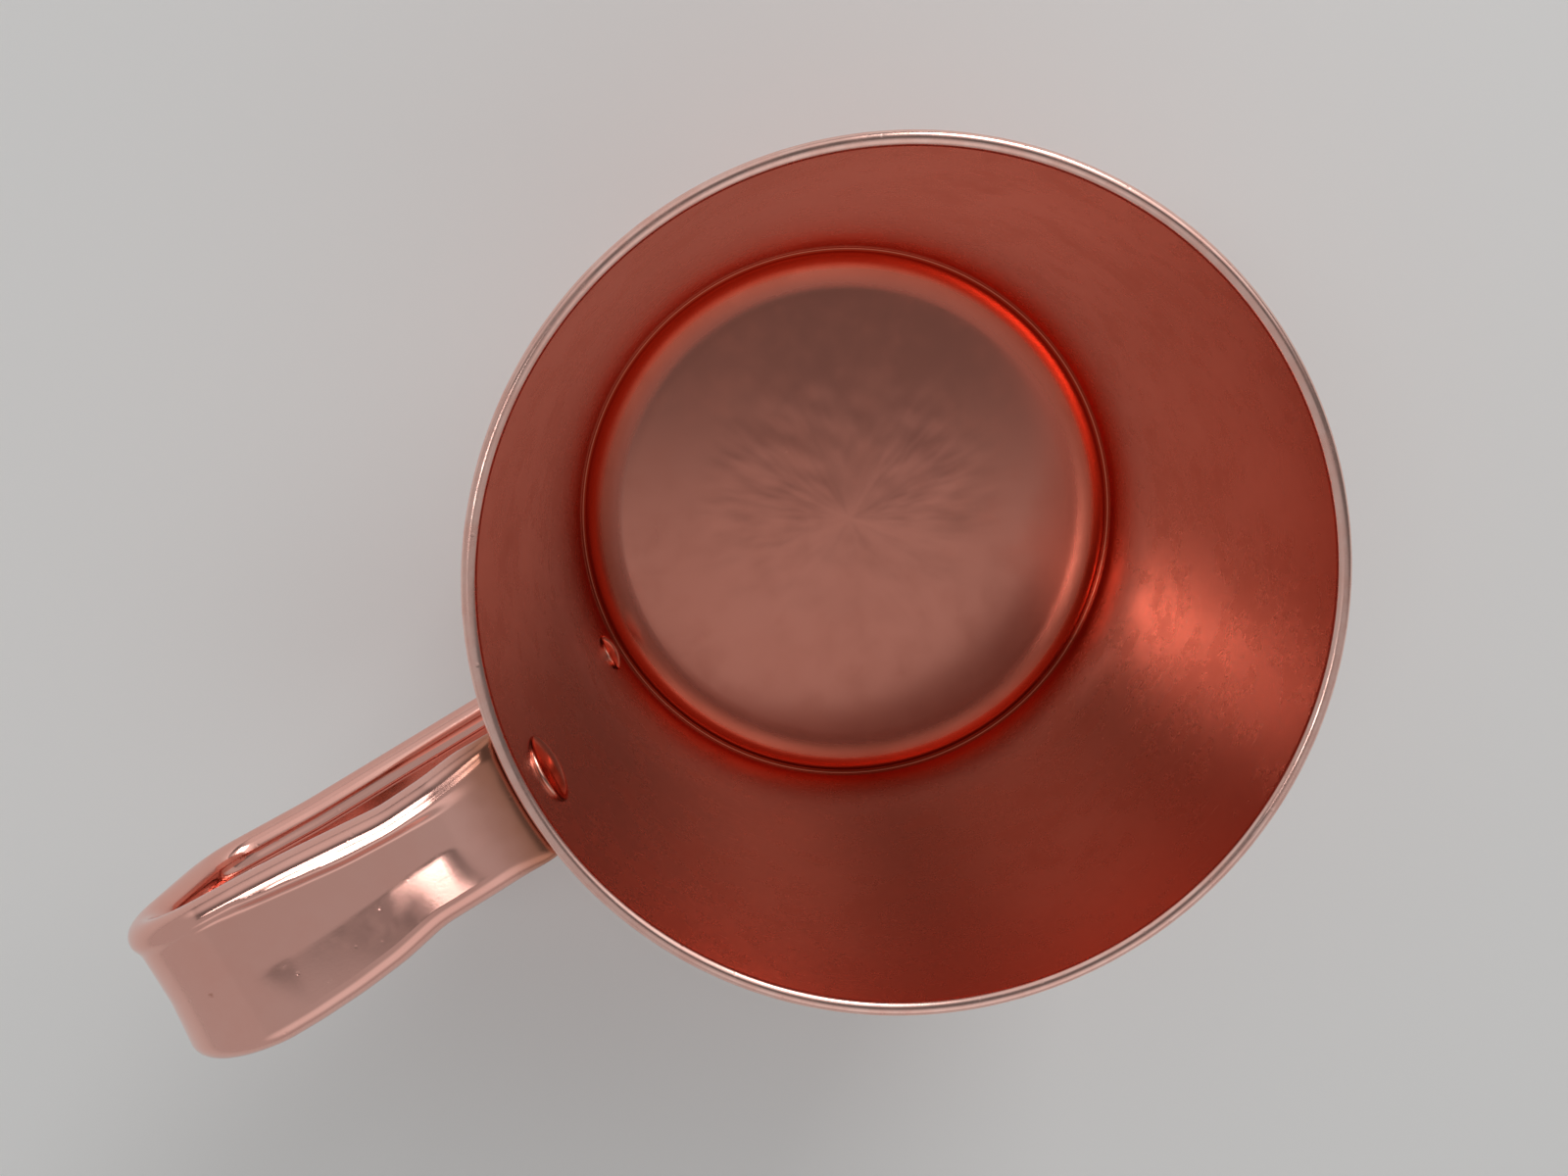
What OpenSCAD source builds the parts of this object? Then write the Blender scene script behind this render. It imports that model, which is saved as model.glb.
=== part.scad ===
// Tapered sheet copper drinking mug with a riveted strap handle.
// The mug stands upright: +Z runs up its axis, the origin is the centre of the foot plane
// and the handle points along +X.  All sizes are in millimetres.

/* [Cup] */
// Outer diameter over the rim bead
rim_d = 84; // [76:1:104]
// Height from the table to the top of the rim bead
height = 65; // [52:1:100]
// Thickness of the drawn sheet
wall_t = 0.7; // [0.5:0.1:1]
// Diameter of the tight bead rolled round the rim
bead_d = 1.5; // [1.3:0.1:2.4]

/* [Foot] */
// Diameter of the ring that the mug stands on, at the middle of its flat
foot_d = 70.1; // [58:0.1:74]
// Width of the flat worn on the foot ring
foot_flat = 0.6; // [0.4:0.1:0.8]
// Middle radius of the crease where the sheet turns from the step into the wall
crease_r = 0.55; // [0.52:0.01:0.8]
// Height of the raised bottom panel above the table
panel_rise = 2.2; // [1.8:0.1:3.5]
// Steepest slope of the step between the crease and the bottom panel
step_slope = 45; // [35:1:60]
// Share of the step's length taken up by the bend into the bottom panel
panel_bend = 0.95; // [0.2:0.05:0.95]

/* [Handle path] */
// Distance from the mug's axis to the outermost face of the handle
handle_reach = 86.4; // [78:0.2:112]
// Drop from the rim to the top face of the upper arm
arm_drop = 2; // [1.6:0.1:6]
// Radius of the shoulder where the upper tab turns out into the arm
shoulder_r = 2.6; // [2.2:0.1:4]
// Radius of the outer bend
bow_r = 12; // [9:0.5:14]
// Lean of the outer leg towards the cup
bow_lean = 12.5; // [5:0.5:18]
// Height of the corner where the strap turns back towards the cup
elbow_z = 35; // [28:1:42]
// Radius of that corner
elbow_r = 10; // [6:0.5:11]
// Height at which the lower arm meets the wall
landing_z = 14.5; // [13:0.5:18]
// Radius of the bend from the lower arm into the lower tab
landing_r = 5; // [4:0.5:7]
// Sideways set of the bow, from wear
bow_set = 2.3; // [0:0.1:3]

/* [Handle section] */
// Thickness of the strap
strap_t = 0.8; // [0.6:0.1:1]
// Width of the strap over its rolled edges at the bow
bow_w = 17; // [14:0.5:20]
// Width of the strap at the shoulder
shoulder_w = 14; // [12:0.5:17]
// Width of the strap at the landing
landing_w = 10.4; // [9:0.2:12]
// Diameter of the rolled edges
roll_d = 3.8; // [3:0.1:4.4]
// Depth of the hollow between the rolled edges
dish = 0.9; // [0:0.1:1.2]
// Thickness of the flattened tabs
tab_t = 1; // [0.9:0.1:1.4]

/* [Rivets] */
// Drop from the rim to the upper rivet
upper_drop = 8.5; // [7.5:0.1:10]
// Height of the lower rivet
lower_z = 7.2; // [6.8:0.1:8.5]
// Head diameter of the upper rivet
upper_head_d = 7.2; // [6:0.1:8]
// Head diameter of the lower rivet
lower_head_d = 5; // [4:0.1:5.6]
// Shank diameter of the upper rivet
upper_shank_d = 3.2; // [2.4:0.1:4]
// Shank diameter of the lower rivet
lower_shank_d = 2.4; // [2:0.1:3]
// Height of a head at its crown
head_h = 1.1; // [0.8:0.1:1.6]
// Height of a head at its edge
head_edge = 0.35; // [0.2:0.05:0.6]
// Radial play of a shank in its holes
hole_play = 0.05; // [0:0.01:0.15]
// Metal left on a tab beside a head
tab_side = 2.4; // [1.4:0.1:3]
// Metal left on a tab between a head and the rounded tip
tab_tip = 1; // [0.6:0.1:1.2]

/* [Hidden] */
$fn = 96;

copper_bright = "#c08878";
copper_deep = "#8c4030";
copper_rivet = "#a85a45";

// ---- paths of straight runs whose corners are rounded ----

function unit(v) = v / norm(v);
function left(v) = [-v[1], v[0]];
function polar(r, a) = r * [cos(a), sin(a)];
function heading(p, q) = atan2(q[1] - p[1], q[0] - p[0]);
function turn_of(a, b) = let (d = b - a) d > 180 ? d - 360 : d < -180 ? d + 360 : d;
function mix(a, b, f) = a + (b - a) * f;
function reversed(list) = [for (i = [len(list) - 1 : -1 : 0]) list[i]];

// Places round one corner, each as [point, heading].
// A radius of 0 gives the corner itself with its mean heading.
function corner(p, q, s, r, steps) =
    let (a = heading(p, q), turn = turn_of(a, heading(q, s)), side = sign(turn))
    r == 0 ? [[q, a + turn / 2]] :
    let (centre = q - polar(r * tan(abs(turn) / 2), a) + left(polar(side * r, a)))
    [for (i = [0 : steps])
        let (h = a + turn * i / steps)
        [centre - left(polar(side * r, h)), h]];

// Points at a distance to the left of a path's places
function beside(places, gap) = [for (s = places) s[0] + left(polar(gap, s[1]))];

// ---- cup: one sheet, described by its middle line ----

bead_r = bead_d / 2;
bead_at = [rim_d / 2 - bead_r, height - bead_r];
panel_mid = panel_rise + wall_t / 2;

// The crease is an arc whose outer face is cut by the table to the foot ring's flat.
under_r = crease_r + wall_t / 2;
flat_swing = asin(foot_flat / 2 / under_r);
crease_at = [foot_d / 2, under_r * cos(flat_swing)];

// The wall runs from the crease, which it leaves as a tangent, up into the bead.
wall_top = [rim_d / 2 - bead_d + wall_t / 2, bead_at[1]];
wall_heading = heading(crease_at, wall_top) + asin(crease_r / norm(wall_top - crease_at));
wall_lean = 90 - wall_heading;

// The step leaves the other end of the crease and runs up to the bottom panel.
step_foot = crease_at + polar(crease_r, -90 - step_slope);
step_run = (panel_mid - step_foot[1]) / tan(step_slope);
step_top = [step_foot[0] - step_run, panel_mid];
panel_r = panel_bend * step_run / cos(step_slope) / tan(step_slope / 2);
crease_corner = crease_at
    + polar(crease_r / cos((wall_heading + step_slope) / 2), (wall_heading - step_slope) / 2 - 90);

panel_middle = [0, panel_mid];
bend_steps = 8;
crease_steps = 12;
bead_step = 15;
panel_places = concat(
    [[panel_middle, 0]],
    corner(panel_middle, step_top, crease_corner, panel_r, bend_steps)
);
crease_places = corner(step_top, crease_corner, wall_top, crease_r, crease_steps);

// The underside of the crease, with the flat in place of its lowest part
flat_margin = 2;
under_crease = concat(
    beside([for (s = crease_places) if (s[1] < -flat_swing - flat_margin) s], -wall_t / 2),
    [for (side = [-1, 1]) [(foot_d + side * foot_flat) / 2, 0]],
    beside([for (s = crease_places) if (s[1] > flat_swing + flat_margin) s], -wall_t / 2)
);

// Radius of the wall's outer or inner face at a height
function wall_r(z, side) =
    wall_top[0] + (z - wall_top[1]) * tan(wall_lean) + side * wall_t / 2 / cos(wall_lean);
function wall_outer(z) = wall_r(z, 1);

// The bead's outline, from the wall's inner face over the top to the point where its
// circle meets the wall's outer face, a little inside the bead's centre line
bead_inset = (bead_r - wall_t / 2) * cos(wall_lean) - wall_t / 2;
bead_to = acos(bead_inset / bead_r) - wall_lean - 180;
bead_outline = [for (a = [each [180 : -bead_step : bead_to + bead_step / 2], bead_to])
    bead_at + polar(bead_r, a)];

module cup_sheet() {
    rotate_extrude()
        polygon(concat(
            beside(concat(panel_places, crease_places), wall_t / 2),
            bead_outline,
            reversed(under_crease),
            reversed(beside(panel_places, -wall_t / 2))
        ));
}

// Everything within the wall's outer or inner face, run past both ends
module inside_wall(side) {
    low = -5;
    high = height + 5;
    translate([0, 0, low])
        cylinder(r1 = wall_r(low, side), r2 = wall_r(high, side), h = high - low);
}

// ---- rivets ----

upper_z = height - upper_drop;
drill_length = 16;
crown_steps = 6;
head_overlap = 0.2;

// Puts its children on the wall's outer face at a height, with +Z along the face's normal
module on_wall(z) {
    translate([wall_outer(z), 0, z])
        rotate([0, 90 + wall_lean, 0])
            children();
}

// A low domed head that stands on z = 0 and is sunk by a depth, for trimming to its seat
module head(d, sink) {
    dome_r = (pow(d / 2, 2) + pow(head_h - head_edge, 2)) / (2 * (head_h - head_edge));
    half = asin(d / 2 / dome_r);
    crown = [for (i = [0 : crown_steps])
        [0, head_h - dome_r] + polar(dome_r, 90 - half * i / crown_steps)];
    rotate_extrude()
        polygon(concat([[0, -sink]], crown, [[d / 2, -sink]]));
}

module shank_hole(z, d) {
    on_wall(z)
        cylinder(d = d + 2 * hole_play, h = drill_length, center = true);
}

// The inner head follows the wall, the outer head sits flat on the tab.
module rivet(z, head_d, shank_d) {
    color(copper_rivet) {
        on_wall(z) {
            translate([0, 0, -wall_t - head_overlap])
                cylinder(d = shank_d, h = wall_t + tab_t + 2 * head_overlap);
            translate([0, 0, tab_t])
                head(head_d, 0);
        }
        intersection() {
            on_wall(z)
                translate([0, 0, -wall_t])
                    mirror([0, 0, 1])
                        head(head_d, 1);
            inside_wall(-1);
        }
    }
}

// ---- handle: a strap swept along its outer face ----

// The tabs are drawn this much into the wall and then trimmed to its curve.
bite = 0.9;
tab_full = tab_t + bite;
roll_r = roll_d / 2;
upper_tab_w = upper_head_d + 2 * tab_side;
lower_tab_w = lower_head_d + 2 * tab_side;

// A point on the wall's outer face, moved outwards square to it
function off_wall(z, out) = [wall_outer(z), z] + polar(out, -wall_lean);

arm_z = height - arm_drop;
upper_end_z = upper_z - upper_head_d / 2 - tab_tip;
lower_end_z = lower_z - lower_head_d / 2 - tab_tip;

// Corners of the outer face's line, from the upper tab round to the lower tab
tab_foot = off_wall(upper_end_z, -bite);
shoulder = off_wall(arm_z, -bite);
bow_run = bow_r * tan((90 + bow_lean) / 2);
bow = [handle_reach - bow_r + bow_run, arm_z];
elbow = [bow[0] - (arm_z - elbow_z) * tan(bow_lean), elbow_z];
landing = off_wall(landing_z, tab_t);
lower_tip = off_wall(lower_end_z, tab_t);
mid_arm_x = mix(shoulder[0], bow[0], 0.4);

// Rows of [corner, radius, half width, sideways set, roundness of the rolled edges].
// The rows of a tab's end draw its rounded tip.
function tab_end(tip, inner, w) =
    [for (a = [25, 45, 65, 90])
        [tip + unit(inner - tip) * w / 2 * (1 - cos(a)), 0, w / 2 * sin(a), 0, 0]];

handle_rows = concat(
    tab_end(tab_foot, shoulder, upper_tab_w),
    [[shoulder, shoulder_r, shoulder_w / 2, 0, 0.25],
     [[shoulder[0] + 8, arm_z], 0, shoulder_w / 2, bow_set * 0.35, 1],
     [[mid_arm_x, arm_z], 0, mix(shoulder_w, bow_w, 0.5) / 2, bow_set * 0.8, 1],
     [bow, bow_r, bow_w / 2, bow_set, 1],
     [elbow, elbow_r, mix(landing_w, bow_w, 0.6) / 2, bow_set * 0.6, 1],
     [mix(elbow, landing, 0.75), 0, mix(landing_w, bow_w, 0.05) / 2, bow_set * 0.1, 1],
     [landing, landing_r, landing_w / 2, 0, 0.3]],
    reversed(tab_end(lower_tip, landing, lower_tab_w))
);

// Every ring as [place, half width, sideways set, roundness]
sweep_steps = 7;
handle_rings = let (last = len(handle_rows) - 1)
    [for (i = [0 : last])
        let (row = handle_rows[i],
             places = i == 0 ? [[row[0], heading(row[0], handle_rows[1][0])]] :
                 i == last ? [[row[0], heading(handle_rows[i - 1][0], row[0])]] :
                 corner(handle_rows[i - 1][0], row[0], handle_rows[i + 1][0], row[1], sweep_steps))
        for (place = places) [place, row[2], row[3], row[4]]];

// One half of the strap's section as [across, inwards] points, from the middle of the
// outer face round the edge to the middle of the inner face.  The edge is rolled until
// its lip almost meets the inner face, and the hollow is shallower where the strap is narrow.
lip_gap = 0.3;
roll_end = 360 - acos(1 - (strap_t + lip_gap) / roll_r);
roll_steps = 7;
face_shares = [0, 0.35, 0.7, 1];
function dish_at(w, f) =
    dish * max(0, min(1, (w - roll_d) / (bow_w / 2 - roll_d))) * (1 + cos(180 * f)) / 2;
function rolled_half(w) =
    let (flat = w - roll_r, inner_r = roll_r - strap_t,
         angles = [for (i = [1 : roll_steps]) roll_end * i / roll_steps])
    concat(
        [for (f = face_shares) [flat * f, dish_at(w, f)]],
        [for (a = angles) [flat + roll_r * sin(a), roll_r * (1 - cos(a))]],
        [for (a = reversed(angles)) [flat + inner_r * sin(a), roll_r - inner_r * cos(a)]],
        [for (f = reversed(face_shares)) [flat * f, dish_at(w, f) + strap_t]]
    );
function flat_half(w) =
    let (edge_r = tab_full / 2, edge = w - edge_r, spread = roll_steps + len(face_shares),
         angles = [for (i = [1 : roll_steps]) 180 * i / roll_steps])
    concat(
        [for (f = face_shares) [edge * f, 0]],
        [for (a = angles) [edge + edge_r * sin(a), edge_r * (1 - cos(a))]],
        [for (i = [1 : spread]) [edge * (1 - i / spread), tab_full]]
    );
function section(w, round) =
    let (half = mix(flat_half(w), rolled_half(w), round), n = len(half))
    concat(half, [for (i = [n - 2 : -1 : 1]) [-half[i][0], half[i][1]]]);

// The strap's surface as one closed polyhedron
module strap() {
    rings = [for (ring = handle_rings)
        let (place = ring[0], inward = left(polar(-1, place[1])))
        [for (p = section(ring[1], ring[3]))
            let (q = place[0] + inward * p[1])
            [q[0], ring[2] + p[0], q[1]]]];
    n = len(rings[0]);
    count = len(rings);
    last = (count - 1) * n;
    tips = [for (i = [0, count - 1])
        let (place = handle_rings[i][0], q = place[0] + left(polar(-tab_full / 2, place[1])))
        [q[0], 0, q[1]]];
    polyhedron(
        points = concat([for (ring = rings) each ring], tips),
        faces = concat(
            [for (i = [0 : n - 1]) [(i + 1) % n, i, count * n]],
            [for (r = [0 : count - 2], i = [0 : n - 1])
                let (a = r * n + i, b = r * n + (i + 1) % n)
                each [[a, b, a + n], [b, b + n, a + n]]],
            [for (i = [0 : n - 1]) [last + i, last + (i + 1) % n, count * n + 1]]
        )
    );
}

// ---- sub-parts ----

module cup() {
    color(copper_deep)
        difference() {
            cup_sheet();
            shank_hole(upper_z, upper_shank_d);
            shank_hole(lower_z, lower_shank_d);
        }
}

module handle() {
    color(copper_bright)
        difference() {
            strap();
            inside_wall(1);
            shank_hole(upper_z, upper_shank_d);
            shank_hole(lower_z, lower_shank_d);
        }
}

module upper_rivet() {
    rivet(upper_z, upper_head_d, upper_shank_d);
}

module lower_rivet() {
    rivet(lower_z, lower_head_d, lower_shank_d);
}

cup();
handle();
upper_rivet();
lower_rivet();
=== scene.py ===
# %% [markdown]
# # A small copper mug with a riveted strap handle
# The mug is drawn from one sheet of copper: a tapered wall, a raised bottom panel inside a
# foot ring, and a tight bead round the rim.  A strap with rolled edges is bent into an ear
# and held by two rivets.  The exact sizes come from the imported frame, so this script only
# makes the finer surfaces and the metal's finish.  Everything is written in millimetres and
# turned into metres when a mesh is made.

import math

import bpy
import numpy as np
from mathutils import Matrix, Vector


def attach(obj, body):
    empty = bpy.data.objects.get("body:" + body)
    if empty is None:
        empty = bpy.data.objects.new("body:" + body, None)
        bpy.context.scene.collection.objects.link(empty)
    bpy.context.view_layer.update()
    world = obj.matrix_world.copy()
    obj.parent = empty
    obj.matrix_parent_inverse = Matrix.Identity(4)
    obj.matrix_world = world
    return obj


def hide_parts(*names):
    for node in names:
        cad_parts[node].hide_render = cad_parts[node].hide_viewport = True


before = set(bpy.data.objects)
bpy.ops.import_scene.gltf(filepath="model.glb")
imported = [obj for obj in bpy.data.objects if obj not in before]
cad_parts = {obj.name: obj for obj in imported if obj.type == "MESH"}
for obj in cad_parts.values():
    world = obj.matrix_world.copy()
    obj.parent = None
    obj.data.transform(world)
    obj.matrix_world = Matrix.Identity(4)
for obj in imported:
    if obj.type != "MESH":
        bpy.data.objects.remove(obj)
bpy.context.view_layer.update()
MM = 0.001
scene = bpy.context.scene

# %% [markdown]
# ## Camera
# The view looks down into the mug from just in front of it, close enough for strong
# perspective.  The camera's axes are written out, because a turned camera that looks almost
# straight down is hard to describe with three angles.

# %% Camera
camera_at = Vector((7.107, -30.122, 210.314)) * MM
look = Vector((0.02288, 0.16234, -0.98647)).normalized()
view_up = Vector((-0.47219, -0.86798, -0.15380)).normalized()
view_right = look.cross(view_up).normalized()

camera_data = bpy.data.cameras.new("Camera")
camera_data.lens = 36.4
camera_data.sensor_width = 36.0
camera_data.clip_start, camera_data.clip_end = 0.01, 20.0
camera = bpy.data.objects.new("Camera", camera_data)
scene.collection.objects.link(camera)
turn = Matrix((view_right, view_up, -look)).transposed()
camera.matrix_world = Matrix.Translation(camera_at) @ turn.to_4x4()
scene.camera = camera
print("camera", [round(v, 4) for v in camera_at])

# %% [markdown]
# ## A bench for nodes
# Geometry Nodes and shaders are both trees of nodes.  Building them by hand in code is long,
# so a small class wraps an output socket and lets arithmetic be written as arithmetic, and
# one method makes any other node from its type, its settings and what its sockets take.


# %% Wires and the bench
class Wire:
    """An output socket that arithmetic can be written with."""

    def __init__(self, bench, socket):
        self.bench, self.socket = bench, socket

    def __add__(self, other):
        return self.bench.maths("ADD", self, other)

    def __sub__(self, other):
        return self.bench.maths("SUBTRACT", self, other)

    def __rsub__(self, other):
        return self.bench.maths("SUBTRACT", other, self)

    def __mul__(self, other):
        return self.bench.maths("MULTIPLY", self, other)

    def __truediv__(self, other):
        return self.bench.maths("DIVIDE", self, other)

    __radd__, __rmul__ = __add__, __mul__


class Made:
    """A node that was made; its outputs are asked for by name."""

    def __init__(self, bench, node):
        self.bench, self.node = bench, node

    def __getitem__(self, name):
        found = [s for s in self.node.outputs if s.name == name and s.enabled]
        return Wire(self.bench, found[0])


class Bench:
    """One node tree to build in."""

    def __init__(self, tree):
        self.tree = tree

    def node(self, kind, settings=None, sockets=None):
        node = self.tree.nodes.new(kind)
        for name, value in (settings or {}).items():
            setattr(node, name, value)
        for name, value in (sockets or {}).items():
            if isinstance(name, int):
                socket = node.inputs[name]
            else:
                socket = [s for s in node.inputs if s.name == name and s.enabled][0]
            self.plug(socket, value)
        return Made(self, node)

    def plug(self, socket, value):
        if isinstance(value, Wire):
            self.tree.links.new(value.socket, socket)
        elif socket.type == "RGBA":
            socket.default_value = (*value, 1.0)
        else:
            socket.default_value = value

    def maths(self, operation, *values):
        made = self.node("ShaderNodeMath", {"operation": operation}, dict(enumerate(values)))
        return made["Value"]

    def vector(self, operation, *values, out="Vector"):
        made = self.node(
            "ShaderNodeVectorMath", {"operation": operation}, dict(enumerate(values))
        )
        return made[out]

    def ease(self, value, low, high):
        """0 below low, 1 above high, with a smooth step between."""
        made = self.node(
            "ShaderNodeMapRange",
            {"interpolation_type": "SMOOTHSTEP", "clamp": True},
            {"Value": value, "From Min": low, "From Max": high, "To Min": 0.0, "To Max": 1.0},
        )
        return made["Result"]

    def noise(self, place, scale, detail=2.0, roughness=0.5):
        made = self.node(
            "ShaderNodeTexNoise",
            {"noise_dimensions": "3D"},
            {"Vector": place, "Scale": scale, "Detail": detail, "Roughness": roughness},
        )
        fac = [s for s in made.node.outputs if s.name in ("Fac", "Factor")][0]
        return Wire(self, fac)

    def blend(self, factor, first, second):
        made = self.node(
            "ShaderNodeMix",
            {"data_type": "RGBA", "blend_type": "MIX"},
            {"Factor": factor, "A": first, "B": second},
        )
        return made["Result"]


# %% [markdown]
# ## Sizes
# These are the sizes that the frame was built to.  They are repeated here because the
# smooth surfaces have to lie where the exact ones do.

# %% Sizes of the sheet, the strap and the rivets
SHEET = 0.7
RIM_R, BEAD_R = 42.0, 0.75
HEIGHT = 65.0
BEAD = np.array([RIM_R - BEAD_R, HEIGHT - BEAD_R])
PANEL_RISE = 2.2
PANEL_Z = PANEL_RISE + SHEET / 2
FOOT_R, FOOT_FLAT, CREASE_R = 35.05, 0.6, 0.55
STEP_SLOPE = math.radians(45)
WALL_TOP = np.array([RIM_R - 2 * BEAD_R + SHEET / 2, BEAD[1]])

UNDER_R = CREASE_R + SHEET / 2
FLAT_SWING = math.asin(FOOT_FLAT / 2 / UNDER_R)
CREASE = np.array([FOOT_R, UNDER_R * math.cos(FLAT_SWING)])
reach = WALL_TOP - CREASE
WALL_HEADING = math.atan2(reach[1], reach[0]) + math.asin(CREASE_R / np.linalg.norm(reach))
LEAN = math.pi / 2 - WALL_HEADING


def wall_radius(z, side):
    """Radius of the wall's outer (+1) or inner (-1) face at a height."""
    return WALL_TOP[0] + (z - WALL_TOP[1]) * math.tan(LEAN) + side * SHEET / 2 / math.cos(LEAN)


print("lean", round(math.degrees(LEAN), 2), "outer radius at the rim", round(wall_radius(64, 1), 2))

# %% [markdown]
# ## Rounded paths
# Sheet metal never has a sharp corner: a line with tight arcs in it describes almost any
# pressed or bent part.  The same helper draws the cup's section and the strap's line.


# %% Rounded paths
def polar(radius, angle):
    return radius * np.array([math.cos(angle), math.sin(angle)])


def left_of(vector):
    return np.array([-vector[1], vector[0]])


def heading(a, b):
    return math.atan2(b[1] - a[1], b[0] - a[0])


def rounded(corners, step=math.radians(6)):
    """Every place along a path of (point, radius) corners, as (point, heading) pairs."""
    points = [np.array(c[0], float) for c in corners]
    places = [(points[0], heading(points[0], points[1]))]
    for before, here, after, (_, radius) in zip(points, points[1:], points[2:], corners[1:-1]):
        start = heading(before, here)
        swing = (heading(here, after) - start + math.pi) % (2 * math.pi) - math.pi
        side = math.copysign(1, swing)
        centre = here - polar(radius * math.tan(abs(swing) / 2), start)
        centre = centre + left_of(polar(side * radius, start))
        count = max(1, round(abs(swing) / step)) if radius else 1
        for i in range(count + 1):
            angle = start + swing * i / count
            places.append((centre - left_of(polar(side * radius, angle)), angle))
    places.append((points[-1], heading(points[-2], points[-1])))
    return places


def beside(places, gap):
    """The places moved to the left by a gap."""
    return [point + left_of(polar(gap, angle)) for point, angle in places]


def filled(points, longest):
    """The same line with points added wherever a run is longer than a length."""
    line = [np.array(points[0])]
    for a, b in zip(points, points[1:]):
        count = max(1, math.ceil(np.linalg.norm(np.subtract(b, a)) / longest))
        line += [a + (b - a) * i / count for i in range(1, count + 1)]
    return line


# %% [markdown]
# ## The cup's section
# The real cup is one disc of sheet, drawn over a tool and then beaded.  Half of its section
# is enough, because the mug is round.  It runs from the middle of the bottom, over the
# panel and the groove, up the inside of the wall, round the bead and back underneath.  A
# flat disc needs no points between its middle and its edge, but this one gets a point every
# millimetre, because the bottom of a used mug is never quite flat.

# %% The cup's section
PANEL_STEP, CREASE_STEP, WALL_STEP = 1.0, 2.4, 3.0
BEAD_POINTS = 27
PANEL_BEND_SHARE = 0.95

step_foot = CREASE + polar(CREASE_R, -math.pi / 2 - STEP_SLOPE)
step_run = (PANEL_Z - step_foot[1]) / math.tan(STEP_SLOPE)
panel_bend = PANEL_BEND_SHARE * step_run / math.cos(STEP_SLOPE) / math.tan(STEP_SLOPE / 2)
crease_half = (WALL_HEADING + STEP_SLOPE) / 2
crease_corner = CREASE + polar(
    CREASE_R / math.cos(crease_half), (WALL_HEADING - STEP_SLOPE) / 2 - math.pi / 2
)
sheet_path = rounded(
    [
        ((0.0, PANEL_Z), 0),
        ((step_foot[0] - step_run, PANEL_Z), panel_bend),
        (crease_corner, CREASE_R),
        (WALL_TOP, 0),
    ],
    math.radians(4),
)[:-1]
inner_line = beside(sheet_path, SHEET / 2)
inner_line = filled(inner_line[:2], PANEL_STEP) + filled(inner_line[2:], CREASE_STEP)
outer_line = filled(beside(sheet_path, -SHEET / 2)[::-1], CREASE_STEP)

inset = (BEAD_R - SHEET / 2) * math.cos(LEAN) - SHEET / 2
bead_end = math.acos(inset / BEAD_R) - LEAN - math.pi
bead_angles = np.linspace(math.pi, bead_end, BEAD_POINTS)
bead_line = [BEAD + polar(BEAD_R, a) for a in bead_angles]
wall_inside = filled([inner_line[-1], bead_line[0]], WALL_STEP)[1:-1]
wall_outside = filled([bead_line[-1], outer_line[0]], WALL_STEP)[1:-1]
section = inner_line + wall_inside + bead_line + wall_outside + outer_line
section = [np.array([max(p[0], 0.0), max(p[1], 0.0)]) for p in section]
bead_first = len(inner_line) + len(wall_inside)
bead_last = bead_first + len(bead_line) - 1
print("section points", len(section), "bead rows", bead_first, bead_last)

# %% [markdown]
# ## A lathe in Geometry Nodes
# Anything round follows one rule, so one tree turns any section: a grid is made with a row
# for each point of the section and a column for each step of the turn, and every vertex
# looks up its row's radius and height.  A Screw modifier could do the same, but the tree
# also gives us each row's number, which is used to sort the metal's finishes.


# %% The lathe tree
ROW_GAP, RIPPLES_PER_M = 0.09, 190.0


def socket_in(tree, name, kind, value=None):
    """Adds a named input to a tree."""
    made = tree.interface.new_socket(name, in_out="INPUT", socket_type="NodeSocket" + kind)
    if value is not None:
        made.default_value = value


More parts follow.
